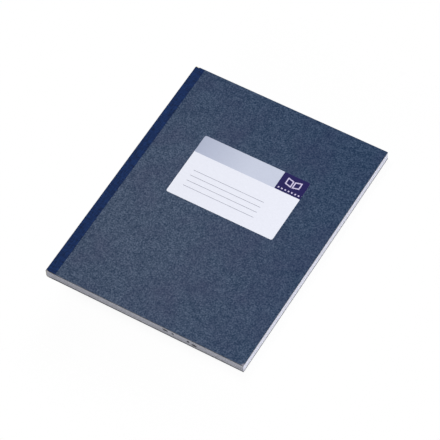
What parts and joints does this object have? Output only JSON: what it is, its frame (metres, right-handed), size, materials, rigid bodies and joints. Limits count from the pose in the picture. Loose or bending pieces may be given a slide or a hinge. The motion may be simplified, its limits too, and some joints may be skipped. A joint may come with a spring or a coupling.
{
  "type": "composition notebook",
  "caption": "Thread-sewn composition notebook with stiff flush-cut marbled covers, a dark blue cloth tape spine and a white writing label; both covers open.",
  "frame": {"origin": "middle of the underside of the closed book", "axes": "+X from the spine to the fore-edge, +Y from tail to head, +Z from the back cover up to the front cover"},
  "size_m": [0.165, 0.21, 0.0088],
  "materials": {
    "page_paper": "matte",
    "thread": "matte",
    "glue": "satin",
    "tape_cloth": "matte",
    "endpaper": "matte",
    "board": "matte",
    "marbled_paper": "satin",
    "label_paper": "satin",
    "print_band": "satin",
    "print_block": "satin",
    "print_rules": "satin"
  },
  "bodies": {
    "text_block": {"page_block": "page_paper", "sewing_thread": "thread", "spine_glue": "glue", "spine_tape": "tape_cloth", "front_flyleaf": "endpaper", "back_flyleaf": "endpaper"},
    "front_cover": {"front_board": "board", "front_cover_paper": "marbled_paper", "front_tape_flap": "tape_cloth", "front_pastedown": "endpaper", "label": "label_paper", "label_print_band": "print_band", "label_print_block": "print_block", "label_print_sign": "label_paper", "label_print_rules": "print_rules"},
    "back_cover": {"back_board": "board", "back_cover_paper": "marbled_paper", "back_tape_flap": "tape_cloth", "back_pastedown": "endpaper"}
  },
  "joints": [
    {"name": "front_hinge", "type": "hinge", "parent": "text_block", "child": "front_cover", "pos_m": [-0.0803, 0, 0.00887], "axis": [0, -1, 0], "range_deg": [0, 175]},
    {"name": "back_hinge", "type": "hinge", "parent": "text_block", "child": "back_cover", "pos_m": [-0.0803, 0, -0.00005], "axis": [0, 1, 0], "range_deg": [0, 175]}
  ]
}
